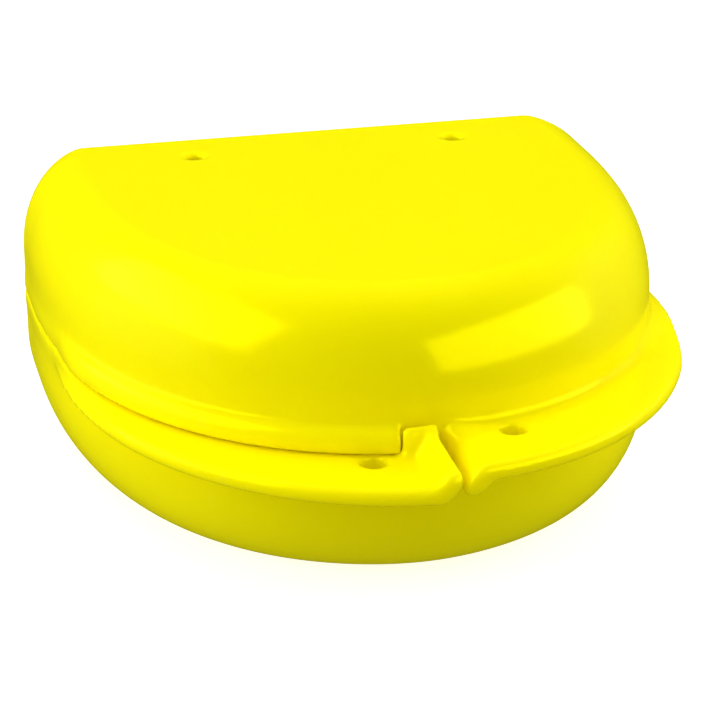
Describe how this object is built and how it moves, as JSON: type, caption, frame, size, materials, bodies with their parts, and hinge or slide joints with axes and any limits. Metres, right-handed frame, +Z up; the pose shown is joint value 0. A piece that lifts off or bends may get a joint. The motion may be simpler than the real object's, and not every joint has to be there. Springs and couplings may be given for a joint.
{
  "type": "mouthguard with case",
  "caption": "Hinged D-shaped plastic carrying case made of two identical clasping mouldings, with a two-layer mouthguard loose inside.",
  "frame": {"origin": "on the table, under the middle of the closed case's bounding box", "axes": "+Z up, -Y towards the clasp, +Y towards the hinge, +X to the right seen from the clasp"},
  "size_m": [0.08, 0.0883, 0.036],
  "materials": {
    "case_plastic": "glossy moulded polypropylene",
    "guard_shell": "satin thermoplastic",
    "guard_liner": "soft translucent thermoplastic"
  },
  "bodies": {
    "case_base": {"base_half": "case_plastic"},
    "lid": {"lid_half": "case_plastic"},
    "mouthguard": {"mouthguard_shell": "guard_shell", "mouthguard_liner": "guard_liner"}
  },
  "joints": [
    {"name": "lid_hinge", "type": "hinge", "parent": "case_base", "child": "lid", "pos_m": [0, 0.04152, 0.018], "axis": [-1, 0, 0], "range_deg": [0, 180]},
    {"name": "mouthguard_lift", "type": "slide", "parent": "case_base", "child": "mouthguard", "axis": [0, 0, 1], "range_m": [0, 0.008]}
  ]
}
